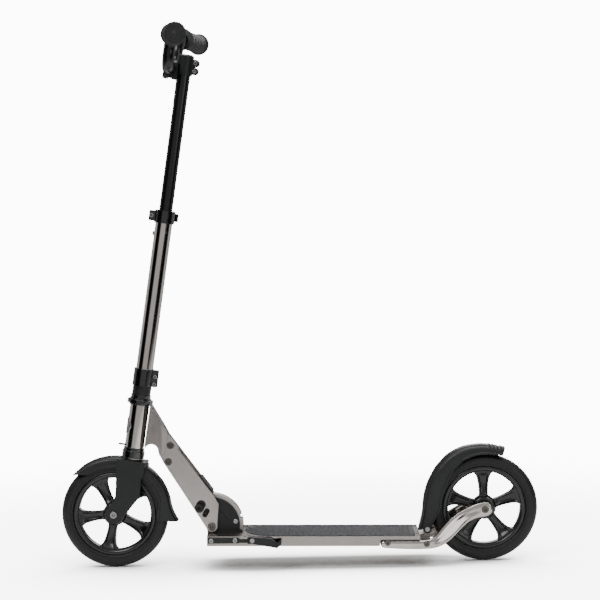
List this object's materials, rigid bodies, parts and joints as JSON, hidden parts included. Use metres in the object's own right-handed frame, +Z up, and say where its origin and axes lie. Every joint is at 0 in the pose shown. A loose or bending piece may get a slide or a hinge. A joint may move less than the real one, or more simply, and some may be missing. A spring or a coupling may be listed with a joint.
{
  "type": "kick scooter",
  "caption": "Folding kick scooter with large spoked wheels, mudguards, a telescoping stem, riser handlebar, slim aluminium deck, brake fender and kickstand.",
  "frame": {"origin": "on the ground, midway between the axles, on the scooter's centre plane", "axes": "+Z up, +X towards the rear wheel, +Y to the rider's right, so the scooter faces -X"},
  "size_m": [0.8898, 0.435, 1.0069],
  "materials": {
    "grey_aluminium": "polished and clear anodised",
    "polished_tube": "polished to a mirror shine",
    "steel": "bright",
    "bronze": "plain bearing bronze",
    "tyre": "satin polyurethane",
    "black_rubber": "matt",
    "black_plastic": "satin",
    "black_coated_metal": "black anodised or powder coated, satin"
  },
  "bodies": {
    "frame": {"deck": "grey_aluminium", "deck_mat": "black_rubber", "rear_arm_left": "grey_aluminium", "rear_arm_right": "grey_aluminium", "arm_screws": "steel", "rear_axle": "steel", "rear_axle_spacers": "steel", "fender_bracket": "grey_aluminium", "fender_pin": "steel", "hinge_block": "grey_aluminium", "hinge_foot": "black_coated_metal", "hinge_covers": "black_plastic", "hinge_cover_screws": "steel", "hinge_bushing": "bronze", "kickstand_bracket": "black_coated_metal", "kickstand_screws": "steel", "kickstand_pin": "steel"},
    "neck": {"neck_plate_left": "grey_aluminium", "neck_plate_right": "grey_aluminium", "neck_gusset": "grey_aluminium", "neck_bolts": "steel", "pivot_bolt": "steel", "head_tube": "polished_tube", "headset_cups": "black_coated_metal", "headset_bearings": "steel", "head_badge": "steel", "strap_hook": "black_plastic"},
    "fold_latch": {"latch_yoke": "black_plastic", "latch_knobs": "black_plastic"},
    "front_end": {"fork": "black_coated_metal", "steerer": "steel", "crown_race": "steel", "front_axle": "steel", "front_axle_spacers": "steel", "front_fender": "black_plastic", "fender_bolt": "steel", "locknut": "black_coated_metal", "stem_sleeve": "black_plastic", "stem_clamp_lower": "black_coated_metal", "lower_clamp_bolts": "steel", "lower_tube": "polished_tube", "height_clamp": "black_coated_metal", "height_clamp_bolt": "steel"},
    "handlebar_post": {"upper_tube": "black_coated_metal", "bar_stem": "black_coated_metal", "bar_clamp": "black_coated_metal", "stem_bolts": "steel", "handlebar": "black_coated_metal", "grips": "black_rubber"},
    "clamp_lever": {"height_lever": "black_plastic"},
    "height_stop": {"height_button": "steel"},
    "front_wheel": {"front_tyre": "tyre", "front_rim": "black_plastic", "front_bearings": "steel"},
    "rear_wheel": {"rear_tyre": "tyre", "rear_rim": "black_plastic", "rear_bearings": "steel"},
    "kickstand": {"kickstand_leg": "black_coated_metal"},
    "brake_fender": {"rear_fender": "black_plastic", "brake_pad": "black_rubber"}
  },
  "joints": [
    {"name": "fold", "type": "hinge", "parent": "frame", "child": "neck", "pos_m": [-0.164, 0, 0.076], "axis": [0, 1, 0], "range_deg": [0, 80]},
    {"name": "steer", "type": "hinge", "parent": "neck", "child": "front_end", "pos_m": [-0.326, 0, 0.1], "axis": [0.153, 0, 0.9882], "range_deg": [-56.6, 63.4]},
    {"name": "stem_height", "type": "slide", "parent": "front_end", "child": "handlebar_post", "axis": [0.153, 0, 0.9882], "range_m": [-0.23, 0]},
    {"name": "clamp_lever_swing", "type": "hinge", "parent": "front_end", "child": "clamp_lever", "pos_m": [-0.26324, 0.0144, 0.65695], "axis": [0.153, 0, 0.9882], "range_deg": [0, 100]},
    {"name": "height_button_press", "type": "slide", "parent": "front_end", "child": "height_stop", "axis": [0.9865, -0.0593, -0.1527], "range_m": [0, 0.003], "stiffness_N_per_m": 800, "springref_m": -0.002},
    {"name": "front_wheel_spin", "type": "hinge", "parent": "front_end", "child": "front_wheel", "pos_m": [-0.34497, 0.00111, 0.1], "axis": [0.0586, 0.9982, -0.0091], "continuous": true},
    {"name": "rear_wheel_spin", "type": "hinge", "parent": "frame", "child": "rear_wheel", "pos_m": [0.345, 0, 0.1], "axis": [0, 1, 0], "continuous": true},
    {"name": "latch_lift", "type": "slide", "parent": "neck", "child": "fold_latch", "axis": [0.5, 0, 0.866], "range_m": [0, 0.008], "stiffness_N_per_m": 1500, "springref_m": -0.004},
    {"name": "kickstand_swing", "type": "hinge", "parent": "frame", "child": "kickstand", "pos_m": [-0.088, -0.0755, 0.057], "axis": [0, 1, 0], "range_deg": [0, 112]},
    {"name": "brake_press", "type": "hinge", "parent": "frame", "child": "brake_fender", "pos_m": [0.238, 0, 0.062], "axis": [0, 1, 0], "range_deg": [0, 3.6], "stiffness_Nm_per_rad": 30, "springref_deg": -2.29}
  ]
}
